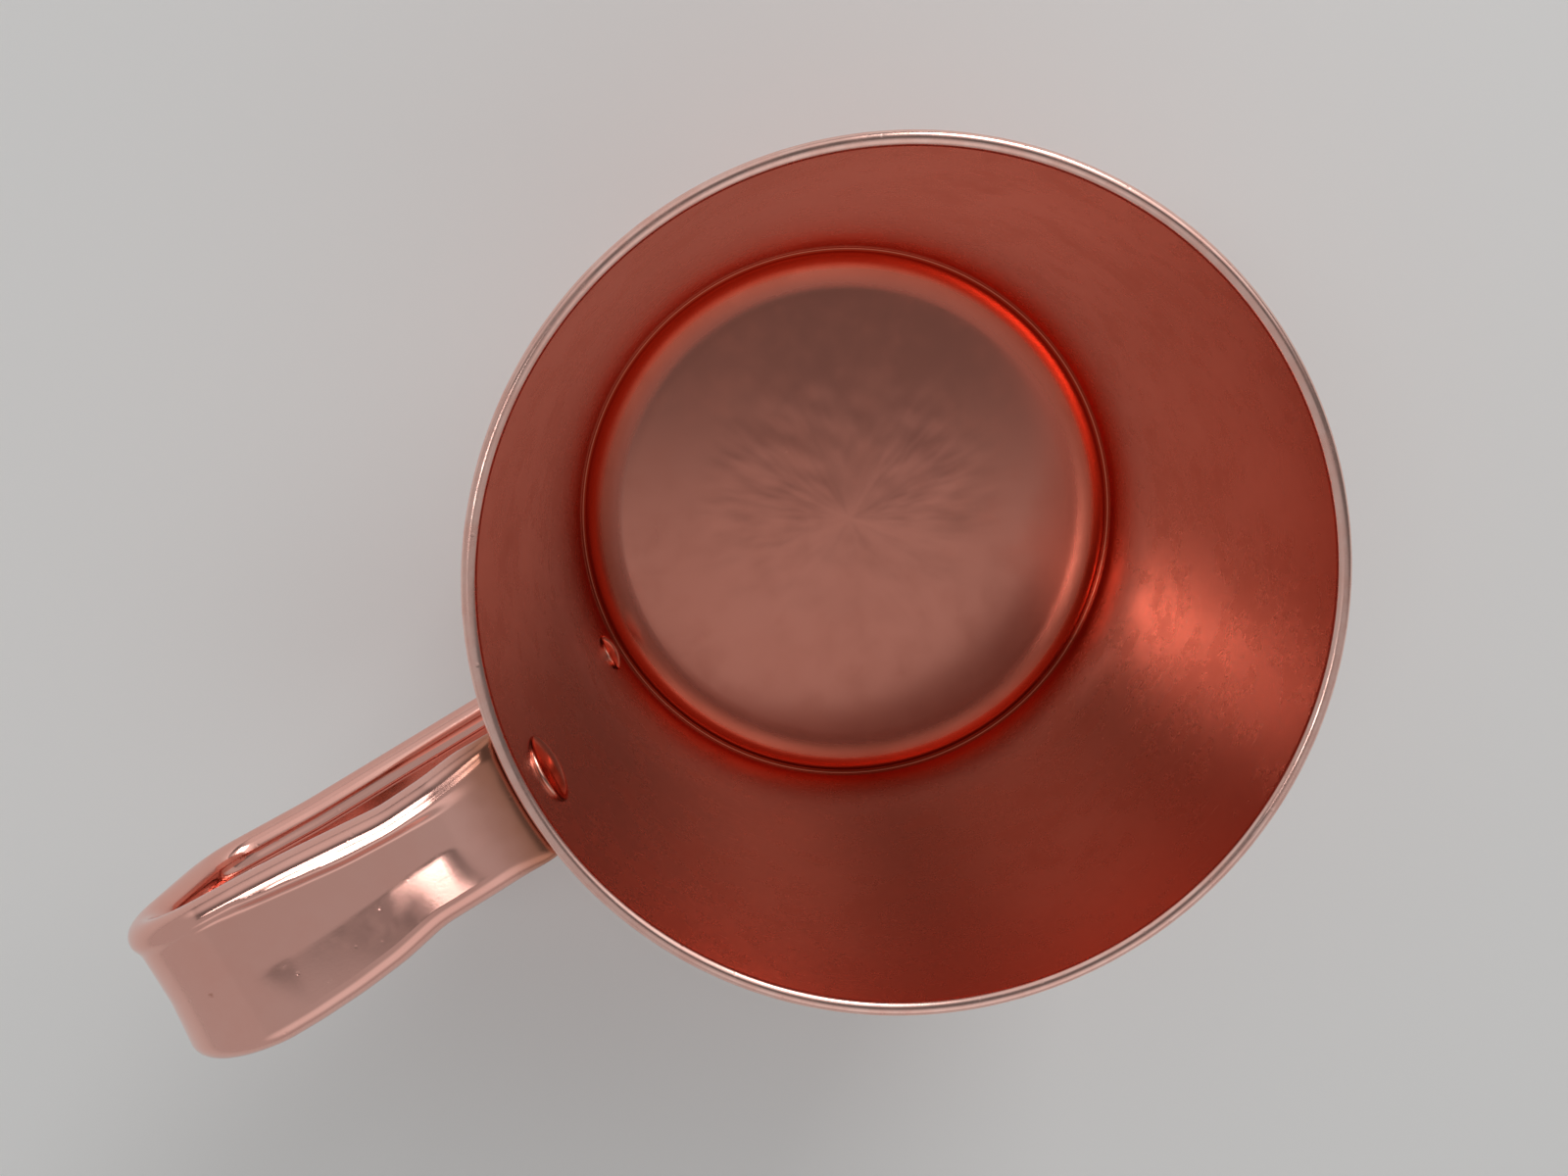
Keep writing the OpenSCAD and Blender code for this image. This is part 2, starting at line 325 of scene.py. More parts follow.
def lathe_tree():
    """Turns a line of vertices (x is the radius, z the height) round the z axis."""
    tree = bpy.data.node_groups.new("Lathe", "GeometryNodeTree")
    socket_in(tree, "Section", "Geometry")
    socket_in(tree, "Columns", "Int", 96)
    socket_in(tree, "Ripple", "Float", 0.0)
    socket_in(tree, "Ripple Radius", "Float", 1.0)
    socket_in(tree, "Nick Depth", "Float", 0.0)
    socket_in(tree, "First Edge Row", "Int", 0)
    socket_in(tree, "Last Edge Row", "Int", 0)
    socket_in(tree, "Inside", "Material")
    socket_in(tree, "Edge", "Material")
    socket_in(tree, "Outside", "Material")
    tree.interface.new_socket("Turned", in_out="OUTPUT", socket_type="NodeSocketGeometry")
    bench = Bench(tree)
    given = bench.node("NodeGroupInput")
    rows = bench.node(
        "GeometryNodeAttributeDomainSize", {"component": "MESH"}, {0: given["Section"]}
    )["Point Count"]
    grid = bench.node(
        "GeometryNodeMeshGrid",
        None,
        {
            "Size X": 1.0,
            "Size Y": 1.0,
            "Vertices X": given["Columns"] + 1,
            "Vertices Y": rows,
        },
    )["Mesh"]
    index = bench.node("GeometryNodeInputIndex")["Index"]
    column = bench.maths("FLOOR", (index + 0.5) / rows)
    row = bench.maths("ROUND", index - column * rows)
    place = bench.node("GeometryNodeInputPosition")["Position"]
    looked_up = bench.node(
        "GeometryNodeSampleIndex",
        {"data_type": "FLOAT_VECTOR", "domain": "POINT"},
        {"Geometry": given["Section"], "Value": place, "Index": row},
    )["Value"]
    split = bench.node("ShaderNodeSeparateXYZ", None, {0: looked_up})
    angle = column / given["Columns"] * (2 * math.pi)
    across, along = bench.maths("COSINE", angle), bench.maths("SINE", angle)

    # Nicks: the edge rows are knocked in wherever a fine noise is high.
    edge = bench.maths("GREATER_THAN", row, given["First Edge Row"] - 0.5)
    edge = edge * bench.maths("LESS_THAN", row, given["Last Edge Row"] + 0.5)
    flat = bench.node(
        "ShaderNodeCombineXYZ", None, {"X": across * RIM_R, "Y": along * RIM_R, "Z": row * ROW_GAP}
    )["Vector"]
    nick = bench.ease(bench.noise(flat, 0.9, 3.0, 0.7), 0.66, 0.8) * edge
    radius = split["X"] - nick * given["Nick Depth"]
    height = split["Z"] - nick * given["Nick Depth"]

    # Ripples: the panel in the middle is never quite flat.
    spot = bench.node("ShaderNodeCombineXYZ", None, {"X": radius * across, "Y": radius * along})
    calm = 1 - bench.ease(radius, given["Ripple Radius"] * 0.6, given["Ripple Radius"])
    wave = bench.noise(spot["Vector"], RIPPLES_PER_M, 3.0, 0.5) - 0.5
    height = height + wave * calm * given["Ripple"]

    turned = bench.node(
        "ShaderNodeCombineXYZ",
        None,
        {"X": radius * across, "Y": radius * along, "Z": height},
    )["Vector"]
    kept = bench.node("GeometryNodeCaptureAttribute", {"domain": "POINT"}, {"Geometry": grid})
    kept.node.capture_items.new("FLOAT", "Row")
    bench.plug(kept.node.inputs["Row"], row)
    mesh = bench.node(
        "GeometryNodeSetPosition", None, {"Geometry": kept["Geometry"], "Position": turned}
    )["Geometry"]
    mesh = bench.node("GeometryNodeMergeByDistance", None, {"Geometry": mesh, "Distance": 2e-6})
    mesh = bench.node("GeometryNodeSetShadeSmooth", None, {0: mesh["Geometry"]})["Geometry"]
    inner = bench.maths("LESS_THAN", kept["Row"], given["First Edge Row"])
    outer = bench.maths("GREATER_THAN", kept["Row"], given["Last Edge Row"])
    mesh = bench.node("GeometryNodeRealizeInstances", None, {"Geometry": mesh})["Geometry"]
    for where, which in ((None, "Edge"), (inner, "Inside"), (outer, "Outside")):
        sockets = {"Geometry": mesh, "Material": given[which]}
        if where is not None:
            sockets["Selection"] = where
        mesh = bench.node("GeometryNodeSetMaterial", None, sockets)["Geometry"]
    bench.node("NodeGroupOutput", None, {"Turned": mesh})
    return tree


LATHE = lathe_tree()
print("lathe tree", len(LATHE.nodes), "nodes")

# %% [markdown]
# ## Plain meshes
# A modifier is a recipe: the frame wants the finished mesh.  One helper makes an object from
# points, a second works out a volume to see that the faces point outwards, and a third turns
# what a modifier makes into the object's own mesh.


# %% Meshes from points, and settling a modifier
def new_object(name, points, edges=(), faces=()):
    mesh = bpy.data.meshes.new(name)
    mesh.from_pydata([tuple(float(v) * MM for v in p) for p in points], edges, faces)
    obj = bpy.data.objects.new(name, mesh)
    scene.collection.objects.link(obj)
    return obj


def volume_of(mesh):
    """Signed volume in cubic millimetres: it is negative when the faces point inwards."""
    mesh.calc_loop_triangles()
    corners = np.array([v.co for v in mesh.vertices]) / MM
    tris = np.array([t.vertices for t in mesh.loop_triangles])
    a, b, c = (corners[tris[:, i]] for i in range(3))
    return float(np.einsum("ij,ij->i", a, np.cross(b, c)).sum() / 6)


def settle(obj):
    """Turns what the modifiers make into the object's own mesh, with faces pointing out."""
    seen = bpy.context.evaluated_depsgraph_get()
    mesh = bpy.data.meshes.new_from_object(
        obj.evaluated_get(seen), preserve_all_data_layers=True, depsgraph=seen
    )
    obj.modifiers.clear()
    obj.data = mesh
    if volume_of(mesh) < 0:
        mesh.flip_normals()
    mesh.name = obj.name
    print(obj.name, len(mesh.polygons), "faces", round(volume_of(mesh), 1), "mm3")
    return obj


def turn_on_lathe(name, line, **inputs):
    """A round piece from a section of (radius, height) points."""
    points = [(p[0], 0.0, p[1]) for p in line]
    obj = new_object(name, points, [(i, i + 1) for i in range(len(points) - 1)])
    modifier = obj.modifiers.new("Lathe", "NODES")
    modifier.node_group = LATHE
    wanted = {key.replace("_", " ").title(): value for key, value in inputs.items()}
    for item in LATHE.interface.items_tree:
        if item.in_out == "INPUT" and item.name in wanted:
            modifier[item.identifier] = wanted[item.name]
    return settle(obj)


# %% [markdown]
# ## Copper
# Copper is a coloured metal: the colour is in the reflection itself, so the base colour is
# the reflectance and metallic is 1.  What makes it look real is unevenness.  One function
# lays the same ingredients over each piece in different amounts: a cloudy tarnish, a fine
# grain that softens highlights, long scratches, and small dings that catch the light.  Some
# places also get painted light: painted shade in the groove under the panel, a painted
# highlight on the panel's edge, and painted shade in the corner by the rim.


# %% Painted shade and highlight, and a rust spot
def bottom_shade_and_highlight(bench, radius, height, colour, rough):
    """The bottom is redder, the groove is darkened with painted shade, and the panel's edge is made
    pale with a painted highlight.
    """
    low = 1 - bench.ease(height, 2.0, 5.0)
    colour = bench.blend(low * 0.9, colour, (0.92, 0.33, 0.24))
    rough = rough * (1 - low * 0.4)
    # Painted shade: the groove is darkened, which also hides its bright line.
    groove_shade = bench.ease(radius, FOOT_R - 1.6, FOOT_R - 0.4) * low
    colour = bench.blend(groove_shade * 0.7, colour, (0.55, 0.11, 0.05))
    # Painted highlight: a pale pink ring on the panel's rounded edge, made a little rougher.
    ring_highlight = bench.ease(radius, FOOT_R - 5.6, FOOT_R - 3.6)
    ring_highlight = ring_highlight * (1 - bench.ease(radius, FOOT_R - 2.9, FOOT_R - 1.9)) * low
    colour = bench.blend(ring_highlight, colour, (1.0, 0.56, 0.46))
    return colour, rough + ring_highlight * 0.2


def shaded_shoulder_and_rust(bench, place, clouds, fine, colour, rough):
    """Painted shade and reflection darken the corner by the rim, and one spot on the bow has
    rusted.
    """
    split = bench.node("ShaderNodeSeparateXYZ", None, {0: place})
    # Painted shade and reflection: the strap darkens towards the wall, under the rim.
    tan = 1 - bench.ease(split["X"] + (clouds - 0.5) * 2.0, 43.0, 49.0)
    tan = tan * bench.ease(split["Z"], 52.0, 60.0)
    colour = bench.blend(tan * 0.9, colour, (0.50, 0.19, 0.11))
    rust = bench.vector("DISTANCE", place, (78.0, 3.0, 61.5), out="Value")
    rust = 1 - bench.ease(rust + (fine - 0.5) * 0.5, 0.2, 0.5)
    colour = bench.blend(rust * 0.7, colour, (0.35, 0.10, 0.04))
    return colour, rough + tan * 0.1 + rust * 0.3


# %% [markdown]
# ## One recipe for all the copper
# Scratches follow the metal: they run round the cup, where a cloth goes, and along the
# strap.  So the scratch pattern is stretched round the axis on a round piece, and along the
# strap's own UV map on the handle.


# %% The copper recipe
def copper(
    name, bright, deep, gloss, haze, grain, scratches, dings,
    round_piece=True, cloud=0.06, groove=False, shoulder_shade=False,
):
    """A copper finish. gloss and haze are the roughness where clean and where worn."""
    material = bpy.data.materials.new(name)
    material.use_nodes = True
    material.node_tree.nodes.clear()
    bench = Bench(material.node_tree)
    place = bench.vector("SCALE", bench.node("ShaderNodeTexCoord")["Object"])
    place.socket.node.inputs["Scale"].default_value = 1 / MM
    if round_piece:
        split = bench.node("ShaderNodeSeparateXYZ", None, {0: place})
        flat = bench.vector("MULTIPLY", place, (1, 1, 0))
        radius = bench.vector("LENGTH", flat, out="Value")
        lengthwise = bench.node(
            "ShaderNodeCombineXYZ",
            None,
            {
                "X": split["X"] / radius * 6,
                "Y": split["Y"] / radius * 6,
                "Z": radius * 9 + split["Z"] * 9,
            },
        )["Vector"]
    else:
        run = bench.node("ShaderNodeUVMap", {"uv_map": "strap"})["UV"]
        lengthwise = bench.vector("MULTIPLY", run, (0.12 / MM, 6 / MM, 0.0))

    # The patterns: slow clouds, smudges, a fine grain, scratches and small dings.
    clouds = bench.ease(bench.noise(place, cloud, 4.0, 0.6), 0.3, 0.7)
    smudge = bench.ease(bench.noise(place, 0.25, 5.0, 0.65), 0.42, 0.72)
    fine = bench.noise(place, 3.2, 3.0, 0.7)
    lines = bench.noise(lengthwise, 1.0, 3.0, 0.6)
    hairs = bench.ease(lines, 0.66, 0.74) * bench.ease(bench.noise(place, 0.11, 2.0), 0.45, 0.6)
    cells = bench.node(
        "ShaderNodeTexVoronoi", {"feature": "F1"}, {"Vector": place, "Scale": 0.55}
    )["Distance"]
    spots = 1 - bench.ease(cells, 0.05, 0.14)

    colour = bench.blend(clouds * 0.6 + smudge * 0.25, bright, deep)
    rough = gloss + (haze - gloss) * (clouds * 0.35 + smudge * 0.45 + fine * 0.2)
    rough = rough + hairs * 0.1
    if groove:
        colour, rough = bottom_shade_and_highlight(bench, radius, split["Z"], colour, rough)
    if shoulder_shade:
        colour, rough = shaded_shoulder_and_rust(bench, place, clouds, fine, colour, rough)
    height = fine * grain + lines * scratches * 0.35 - hairs * scratches - spots * dings
    bump = bench.node(
        "ShaderNodeBump", None, {"Strength": 1.0, "Distance": MM, "Height": height}
    )["Normal"]
    metal = bench.node(
        "ShaderNodeBsdfPrincipled",
        None,
        {"Base Color": colour, "Metallic": 1.0, "Roughness": rough, "Normal": bump},
    )
    bench.node("ShaderNodeOutputMaterial", None, {"Surface": metal["BSDF"]})
    print("finish", name, len(material.node_tree.nodes), "nodes")
    return material


# %% [markdown]
# ## The five finishes
# The cup is satin inside, where it was only brushed, and brighter outside; the inside's darker,
# redder colour is painted shade.  The bead has the palest colour.  It is the most nicked,
# because it is the part that knocks against things.  The strap and the rivets are handled
# every day, so they are the glossiest.

# %% The five finishes
# The inside's colours are darker and redder than the outside's: painted shade on the same copper.
INSIDE = copper(
    "Copper_inside", (0.78, 0.35, 0.27), (0.70, 0.29, 0.21), 0.22, 0.34,
    grain=0.0004, scratches=0.0004, dings=0.0, groove=True,
)
OUTSIDE = copper(
    "Copper_outside", (0.93, 0.50, 0.42), (0.88, 0.44, 0.36), 0.16, 0.30,
    grain=0.001, scratches=0.002, dings=0.001,
)
EDGE = copper(
    "Copper_rim_bead", (0.95, 0.62, 0.54), (0.88, 0.48, 0.40), 0.14, 0.34,
    grain=0.004, scratches=0.003, dings=0.01, cloud=0.4,
)
STRAP = copper(
    "Copper_strap", (0.93, 0.52, 0.44), (0.90, 0.46, 0.38), 0.08, 0.18,
    grain=0.0012, scratches=0.001, dings=0.006, round_piece=False, shoulder_shade=True,
)
RIVET = copper(
    "Copper_rivet", (0.92, 0.45, 0.35), (0.86, 0.40, 0.30), 0.08, 0.18,
    grain=0.002, scratches=0.001, dings=0.004, cloud=0.5,
)

# %% [markdown]
# ## The cup
# The section goes on the lathe.  Many columns are needed, because the bead's nicks are only
# about half a millimetre long.  The first rows of the bead still belong to the inside, where
# the sheet turns over.

# %% Turn the cup
BEAD_ROWS_INSIDE = 3
cup = turn_on_lathe(
    "cup_shell",
    section,
    columns=420,
    ripple=0.12 * MM,
    ripple_radius=24 * MM,
    nick_depth=0.12 * MM,
    first_edge_row=bead_first + BEAD_ROWS_INSIDE,
    last_edge_row=bead_last,
    inside=INSIDE,
    edge=EDGE,
    outside=OUTSIDE,
)
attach(cup, "root")
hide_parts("cup")

# %% [markdown]
# ## The strap handle
# The handle is a strip whose edges are rolled under, bent into an ear and flattened at both
# ends.  Its section changes all the way along, which a plain curve with a bevel can't do, so
# it is swept ring by ring.  First comes the line of the outer face, seen from the side: up
# the wall, out along the arm, round the bow, down to the elbow and back to the wall.

# %% The strap's line
STRAP_T, TAB_T = 0.8, 1.0
REACH, BOW_R, BOW_LEAN = 86.38, 12.0, math.radians(12.5)
UPPER_TIP_Z, ARM_Z, ELBOW_Z, LANDING_Z, LOWER_TIP_Z = 51.9, 63.0, 35.0, 14.5, 3.7
SHOULDER_R, ELBOW_R, LANDING_R = 3.2, 10.0, 5.0
SINK = 0.05


def off_wall(z, out):
    return np.array([wall_radius(z, 1), z]) + polar(out, -LEAN)


upper_tip, shoulder = off_wall(UPPER_TIP_Z, -SINK), off_wall(ARM_Z, -SINK)
bow = np.array([REACH - BOW_R + BOW_R * math.tan((math.pi / 2 + BOW_LEAN) / 2), ARM_Z])
elbow = np.array([bow[0] - (ARM_Z - ELBOW_Z) * math.tan(BOW_LEAN), ELBOW_Z])
landing, lower_tip = off_wall(LANDING_Z, TAB_T - SINK), off_wall(LOWER_TIP_Z, TAB_T - SINK)
line = rounded(
    [
        (upper_tip, 0),
        (shoulder, SHOULDER_R),
        (bow, BOW_R),
        (elbow, ELBOW_R),
        (landing, LANDING_R),
        (lower_tip, 0),
    ],
    math.radians(2),
)
spots = np.array([p for p, _ in line])
turns = np.unwrap([a for _, a in line])
runs = np.concatenate([[0], np.cumsum(np.linalg.norm(np.diff(spots, axis=0), axis=1))])
print("strap length", round(runs[-1], 1), "mm")

# %% [markdown]
# ## What changes along the strap
# The strap was pressed by hand tools, so its two edges don't match: a channel lies off the
# middle, one side of it slopes up gently to a crest and the other rises in a short steep
# step.  A table says where each of these lines runs, at places a maker would mark out, and
# the rings between the marks are eased from one to the next.


# %% The marks along the strap
def run_at(point):
    """Distance along the strap's line of the place nearest a point."""
    fine = np.linspace(0, runs[-1], 4000)
    x, z = np.interp(fine, runs, spots[:, 0]), np.interp(fine, runs, spots[:, 1])
    return fine[np.argmin((x - point[0]) ** 2 + (z - point[1]) ** 2)]


UPPER_TAB_W, LOWER_TAB_W = 12.0, 9.8
arm = shoulder - [shoulder[0], 0]
knee = run_at(elbow)
low = run_at(elbow + (landing - elbow) * 0.75)
foot_of_strap = run_at(landing)
keys = np.array(
    [
        # run; where the far edge, far crest, two valleys, near crest and near edge lie
        # across the strap; how deep the channel is; how far the edges are rolled
        (0.0, -6.0, -3.5, -1.0, 1.0, 3.5, 6.0, 0.0, 0.0),
        (run_at(off_wall(59.5, -SINK)), -6.3, -4.0, -1.5, 0.5, 4.0, 6.3, 0.0, 0.0),
        (run_at(shoulder), -6.9, -4.3, -2.1, 0.3, 4.6, 7.0, 0.1, 0.3),
        (run_at(arm + [46.0, 0]), -6.6, -4.2, -2.1, 0.4, 5.3, 7.3, 0.15, 1.0),
        (run_at(arm + [50.0, 0]), -5.9, -3.4, -2.0, 0.8, 5.5, 7.6, 0.95, 1.0),
        (run_at(arm + [55.0, 0]), -5.4, -2.9, -2.0, 1.4, 6.2, 7.9, 1.1, 1.0),
        (run_at(arm + [60.0, 0]), -5.6, -2.9, -2.0, 2.0, 7.2, 9.2, 1.1, 1.0),
        (run_at(arm + [65.0, 0]), -5.8, -3.4, -2.3, 2.4, 8.0, 10.0, 1.1, 1.0),
        (run_at(arm + [70.0, 0]), -5.9, -3.8, -2.7, 2.8, 8.5, 10.5, 1.0, 1.0),
        (run_at(arm + [74.0, 0]), -5.9, -4.4, -3.2, 3.0, 8.7, 10.7, 0.6, 1.0),
        (run_at(bow), -5.8, -4.2, -2.5, 3.0, 8.0, 9.9, 0.5, 1.0),
        (knee - 6, -5.9, -3.8, -2.0, 2.6, 7.2, 9.2, 0.7, 1.0),
        (knee, -5.8, -3.6, -1.8, 2.0, 6.0, 8.0, 0.8, 1.0),
        (knee + 12, -5.2, -3.2, -1.6, 1.6, 4.8, 6.8, 0.7, 1.0),
        (low, -5.1, -3.1, -1.4, 1.4, 3.5, 5.5, 0.4, 1.0),
        (foot_of_strap - 3, -5.2, -3.1, -1.3, 1.3, 3.2, 5.2, 0.2, 0.8),
        (foot_of_strap + 2, -5.0, -3.0, -1.2, 1.2, 3.0, 5.0, 0.0, 0.0),
        (runs[-1], -4.9, -3.0, -1.2, 1.2, 3.0, 4.9, 0.0, 0.0),
    ]
)
RING_GAP, SMOOTHED = 0.42, 2.0
ring_runs = np.linspace(0, runs[-1], round(runs[-1] / RING_GAP))


def along(column):
    """One column of the keys at every ring, with its corners smoothed."""
    values = np.interp(ring_runs, keys[:, 0], keys[:, column])
    reach = round(SMOOTHED / RING_GAP)
    window = np.hanning(2 * reach + 1)
    padded = np.pad(values, reach, mode="edge")
    return np.convolve(padded, window / window.sum(), mode="valid")


marks = np.column_stack([along(column) for column in range(1, 7)])
depth, roll = np.clip(along(7), 0, 1), np.clip(along(8), 0, 1)
for tab_w, from_tip in ((UPPER_TAB_W, ring_runs), (LOWER_TAB_W, runs[-1] - ring_runs)):
    share = np.clip(from_tip / (tab_w / 2), 0.02, 1)
    round_tip = np.sqrt(1 - (1 - share) ** 2)
    marks *= np.where(from_tip < tab_w / 2, round_tip, 1.0)[:, None]
print(len(ring_runs), "rings, widest", round(np.ptp(marks, axis=1).max(), 1), "mm")

# %% [markdown]
# ## The strap's section
# Each section is built as two sides, and every ring has the same number of points, so that
# the rings can be joined up.  At the tabs the strip is flat, so a flat section with the same
# points is mixed in where the edges aren't rolled.


# %% The strap's section
ROLL_R, ROLL_END = 1.9, math.radians(280)
STEEP_START, GENTLE_START = math.radians(13), math.radians(15)
STEP_SHARE, CREST_SLOPE, VALLEY_EASE = 0.75, 0.24, 0.1
FACE, EDGE_STEPS, LIP = 22, 22, 3


def eased(value):
    value = np.clip(value, 0, 1)
    return value * value * (3 - 2 * value)


def rolled_side(middle, valley, crest, edge, deep, steep):
    """One side of the section, from the outer middle round the edge to the inner middle."""
    flat = max(edge - ROLL_R, 0.2)
    crest = min(crest, flat)
    share = np.linspace(0, 1, FACE)
    at = middle + (flat - middle) * share
    if steep:
        drop = deep * (1 - STEP_SHARE * eased((at - valley) / (crest - valley)))
        drop = drop + CREST_SLOPE * np.clip(at - crest, 0, None)
        start = STEEP_START
    else:
        ramp = (at - valley) / (flat - valley)
        bend = (ramp + VALLEY_EASE) ** 2 / (4 * VALLEY_EASE)
        ramp = np.where(ramp < -VALLEY_EASE, 0, np.where(ramp > VALLEY_EASE, ramp, bend))
        drop = deep * (1 - ramp)
        start = GENTLE_START
    top = drop[-1]
    inner_r = ROLL_R - STRAP_T
    swing = np.linspace(start, ROLL_END, EDGE_STEPS)
    lip = ROLL_END + np.radians(np.linspace(30, 150, LIP))
    lip_reach = ROLL_R - STRAP_T / 2
    lip_middle = np.array(
        [flat + lip_reach * math.sin(ROLL_END), top + ROLL_R - lip_reach * math.cos(ROLL_END)]
    )
    return np.vstack(
        [
            np.column_stack([at, drop]),
            np.column_stack([flat + ROLL_R * np.sin(swing), top + ROLL_R * (1 - np.cos(swing))]),
            lip_middle + STRAP_T / 2 * np.column_stack([np.sin(lip), -np.cos(lip)]),
            np.column_stack(
                [flat + inner_r * np.sin(swing), top + ROLL_R - inner_r * np.cos(swing)]
            )[::-1],
            np.column_stack([at, drop + STRAP_T])[::-1],
        ]
    )


def flat_side(middle, edge):
    """The same number of points round a flat strip with a round edge."""
    tab_r = TAB_T / 2
    side = max(edge - tab_r, 0.0)
    edge_turn = np.radians(np.linspace(6, 174, EDGE_STEPS))
    edge_r = min(tab_r, edge)
    back = LIP + EDGE_STEPS + FACE
    return np.vstack(
        [
            np.column_stack([np.linspace(middle, side, FACE), np.zeros(FACE)]),
            np.column_stack([side + edge_r * np.sin(edge_turn), tab_r * (1 - np.cos(edge_turn))]),
            np.column_stack([np.linspace(side, middle, back), np.full(back, TAB_T)]),
        ]
    )


def whole_section(mark, deep, roll):
    """The section's outline: the near side, then the far side backwards."""
    middle = (mark[2] + mark[3]) / 2
    sides = []
    for sign, valley, crest, edge in ((1, *mark[3:6]), (-1, *mark[2::-1])):
        given = (sign * middle, sign * valley, sign * crest, sign * edge)
        curled = rolled_side(*given, deep, sign < 0)
        strip = flat_side(given[0], given[3])
        sides.append((strip + (curled - strip) * roll) * [sign, 1])
    return np.vstack([sides[0], sides[1][-2:0:-1]])


print("points round the strap", len(whole_section(marks[0], depth[0], roll[0])))

# %% [markdown]
# ## Sweeping the strap
# Each section is set square to the line.  Near the cup it is also wrapped onto the round
# wall, because the tabs were hammered down until they lay against it.  A UV map records the
# distance along and around the strap for the scratches to follow.

# %% Sweep the strap
WRAP_FROM, WRAP_OVER, GIRTH_STEP = 1.0, 3.0, 0.4
rings = []
for run, mark, deep, rolled in zip(ring_runs, marks, depth, roll):
    x, z = np.interp(run, runs, spots[:, 0]), np.interp(run, runs, spots[:, 1])
    angle = np.interp(run, runs, turns)
    inward = -left_of(polar(1, angle))
    part = whole_section(mark, deep, rolled)
    wall = wall_radius(z, 1)
    wrap = 1 - min(max((x - wall - WRAP_FROM) / WRAP_OVER, 0), 1)
    ys = part[:, 0]
    xs = x + inward[0] * part[:, 1] + wrap * (np.sqrt(wall**2 - ys**2) - wall)
    rings.append(np.column_stack([xs, ys, z + inward[1] * part[:, 1]]))
count, around = len(rings), len(rings[0])
points = np.vstack(rings + [rings[0].mean(axis=0)[None], rings[-1].mean(axis=0)[None]])
steps = [(i, (i + 1) % around) for i in range(around)]
faces = [
    (start + i, start + j, start + around + j, start + around + i)
    for start in range(0, (count - 1) * around, around)
    for i, j in steps
]
last = (count - 1) * around
faces += [(j, i, count * around) for i, j in steps]
faces += [(last + i, last + j, count * around + 1) for i, j in steps]
strap = new_object("handle_strap", points, (), faces)
strap.data.polygons.foreach_set("use_smooth", [True] * len(strap.data.polygons))
lengths = np.concatenate([np.repeat(ring_runs, around), [0, runs[-1]]])
around_runs = np.concatenate([np.tile(np.arange(around) * GIRTH_STEP, count), [0, 0]])
layer = strap.data.uv_layers.new(name="strap")
for loop in strap.data.loops:
    vertex = loop.vertex_index
    layer.data[loop.index].uv = (lengths[vertex] * MM, around_runs[vertex] * MM)
strap.data.materials.append(STRAP)
settle(strap)
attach(strap, "root")
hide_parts("handle")

# %% [markdown]
# ## The rivets
# Each rivet is a round piece too: a low domed head inside the mug, a shank through both
# sheets, and a second head that was set on the outside.  So it goes on the same lathe, and
# is then leant onto the wall.


# %% Turn the rivets
HEAD_H, HEAD_EDGE, HEAD_SUNK = 1.1, 0.35, 0.25
DOME_STEPS = 12
UPPER_RIVET = {"z": 56.5, "head_r": 3.6, "shank_r": 1.6}
LOWER_RIVET = {"z": 7.2, "head_r": 2.5, "shank_r": 1.2}


def rivet_line(head_r, shank_r, grip):
    """The rivet's section: z = 0 is the wall's inner face and +z points outwards."""
    crown = HEAD_H - HEAD_EDGE
    dome_r = (head_r**2 + crown**2) / (2 * crown)
    half = math.asin((head_r - 0.12) / dome_r)
    dome = [
        polar(dome_r, math.pi / 2 - half * i / DOME_STEPS) + [0, HEAD_H - dome_r]
        for i in range(DOME_STEPS + 1)
    ]
    rim_z = dome[-1][1]
    corner = [np.array([head_r, rim_z - 0.14]), np.array([head_r + 0.02, rim_z - 0.25])]
    skirt = [np.array([head_r, -HEAD_SUNK]), np.array([shank_r, -HEAD_SUNK])]
    out = filled(dome + corner + skirt, 0.5)
    inner = [p * [1, -1] for p in out]
    outer = [p + [0, grip] for p in out[::-1]]
    return inner + outer


def rivet(name, node, z, head_r, shank_r):
    """Turns a rivet and leans it onto the wall at a height."""
    obj = turn_on_lathe(
        name, rivet_line(head_r, shank_r, SHEET + TAB_T), columns=96,
        first_edge_row=0, last_edge_row=0, inside=RIVET, edge=RIVET, outside=RIVET,
    )
    seat = Vector((wall_radius(z, -1), 0, z)) * MM
    lean = Matrix.Rotation(math.pi / 2 + LEAN, 4, "Y")
    obj.data.transform(Matrix.Translation(seat) @ lean)
    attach(obj, "root")
    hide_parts(node)


rivet("rivet_upper", "upper_rivet", **UPPER_RIVET)
rivet("rivet_lower", "lower_rivet", **LOWER_RIVET)

# %% [markdown]
# ## The floor
# The floor is one large plain face.  It is pale, because the underside of the handle and the
# outside of the wall mostly reflect it.


# %% Floor
FLOOR_REACH = 4000


def plain(name, colour, roughness):
    """A matt finish with hardly any unevenness in it."""
    material = bpy.data.materials.new(name)
    material.use_nodes = True
    material.node_tree.nodes.clear()
    bench = Bench(material.node_tree)
    place = bench.node("ShaderNodeTexCoord")["Object"]
    tone = bench.noise(place, 3.0, 2.0) * 0.06
    body = bench.blend(tone, colour, tuple(c * 0.8 for c in colour))
    made = bench.node(
        "ShaderNodeBsdfPrincipled", None, {"Base Color": body, "Roughness": roughness}
    )
    bench.node("ShaderNodeOutputMaterial", None, {"Surface": made["BSDF"]})
    return material


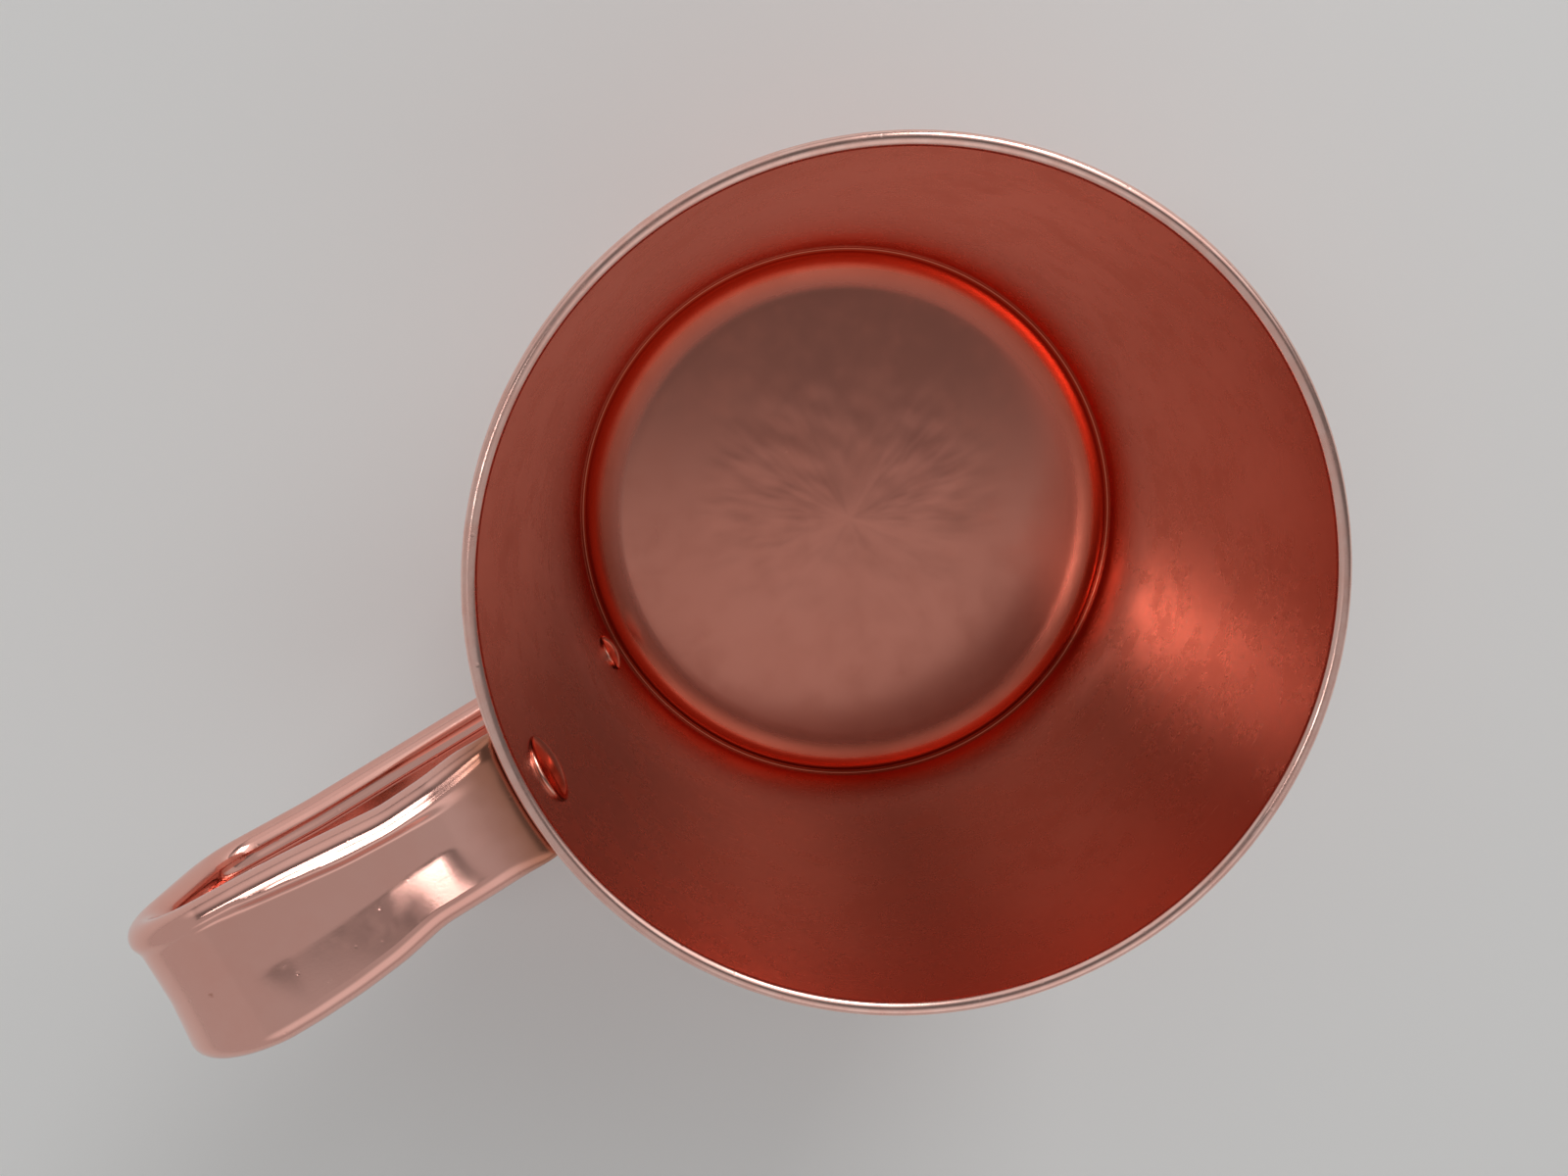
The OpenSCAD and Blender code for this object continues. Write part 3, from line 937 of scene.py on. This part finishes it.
floor_corners = [
    (x * FLOOR_REACH, y * FLOOR_REACH, 0) for x, y in ((-1, -1), (1, -1), (1, 1), (-1, 1))
]
floor = new_object("floor", floor_corners, (), [(0, 1, 2, 3)])
floor.data.materials.append(plain("Pale_floor", (0.92, 0.92, 0.91), 0.9))
print("floor", 2 * FLOOR_REACH * MM, "m across")

# %% [markdown]
# ## The sky
# Polished metal shows its surroundings more than itself, so the room matters as much as the
# finish.  An even sky would make the copper look like paint.  This one is dim overhead, pale
# on two sides, and has three soft glows that shape the inside of the cup.  Each part is a
# round patch of the sky, eased at its edge.


# %% The sky
DIM = 0.13
# axis, angle where it starts, angle where it is full, how bright
PALE_SIDES = [((0.45, 0.85, 0.15), 80, 75, 0.4), ((1.0, 0.0, 0.0), 64, 60, 0.42)]
GLOWS = [
    ((-0.75, -0.35, 0.5), 35, 10, 0.9),
    ((0.0, -0.9, 0.45), 40, 15, 0.5),
    ((0.1, 0.7, 0.65), 32, 12, 0.3),
]
world = bpy.data.worlds.new("Studio")
scene.world = world
world.use_nodes = True
world.node_tree.nodes.clear()
sky = Bench(world.node_tree)
toward = sky.vector("NORMALIZE", sky.node("ShaderNodeTexCoord")["Generated"])


def patch(axis, outer, inner, tone):
    """A soft round patch of the sky, from nothing at one angle to its full tone at another."""
    facing = sky.vector("DOT_PRODUCT", toward, Vector(axis).normalized(), out="Value")
    low, high = math.cos(math.radians(outer)), math.cos(math.radians(inner))
    return sky.ease(facing, low, high) * tone


level = DIM
for side in PALE_SIDES:
    level = sky.maths("MAXIMUM", patch(*side), level)
for glow in GLOWS:
    level = level + patch(*glow)
grey = sky.node("ShaderNodeCombineColor", None, {0: level, 1: level, 2: level})["Color"]
back = sky.node("ShaderNodeBackground", None, {"Color": grey, "Strength": 1.0})
sky.node("ShaderNodeOutputWorld", None, {"Surface": back["Background"]})
print("sky", len(world.node_tree.nodes), "nodes")

# %% [markdown]
# ## Two soft boxes
# The long white streaks on the strap come from small bright things in the room.  A narrow
# box above the handle makes them, and a wider, lower one on the other side lights the cup.
# The view transform is Standard, so that bright copper keeps its colour.


# %% Soft boxes
def soft_box(name, at, size, watts):
    """An area light that faces the mug. It lights and reflects but isn't seen itself."""
    data = bpy.data.lights.new(name, "AREA")
    data.shape = "RECTANGLE"
    data.size, data.size_y = size
    data.energy = watts
    obj = bpy.data.objects.new(name, data)
    scene.collection.objects.link(obj)
    at = Vector(at)
    aim = Vector((0.0, 0.0, 0.03)) - at
    obj.matrix_world = Matrix.Translation(at) @ aim.to_track_quat("-Z", "Y").to_matrix().to_4x4()
    obj.visible_camera = False
    print(name, "light", watts, "W")


soft_box("Key", (-0.7, -0.6, 0.48), (0.42, 0.36), 2.8)
soft_box("Window", (0.35, -0.22, 1.0), (0.09, 0.24), 0.35)
scene.view_settings.view_transform = "Standard"
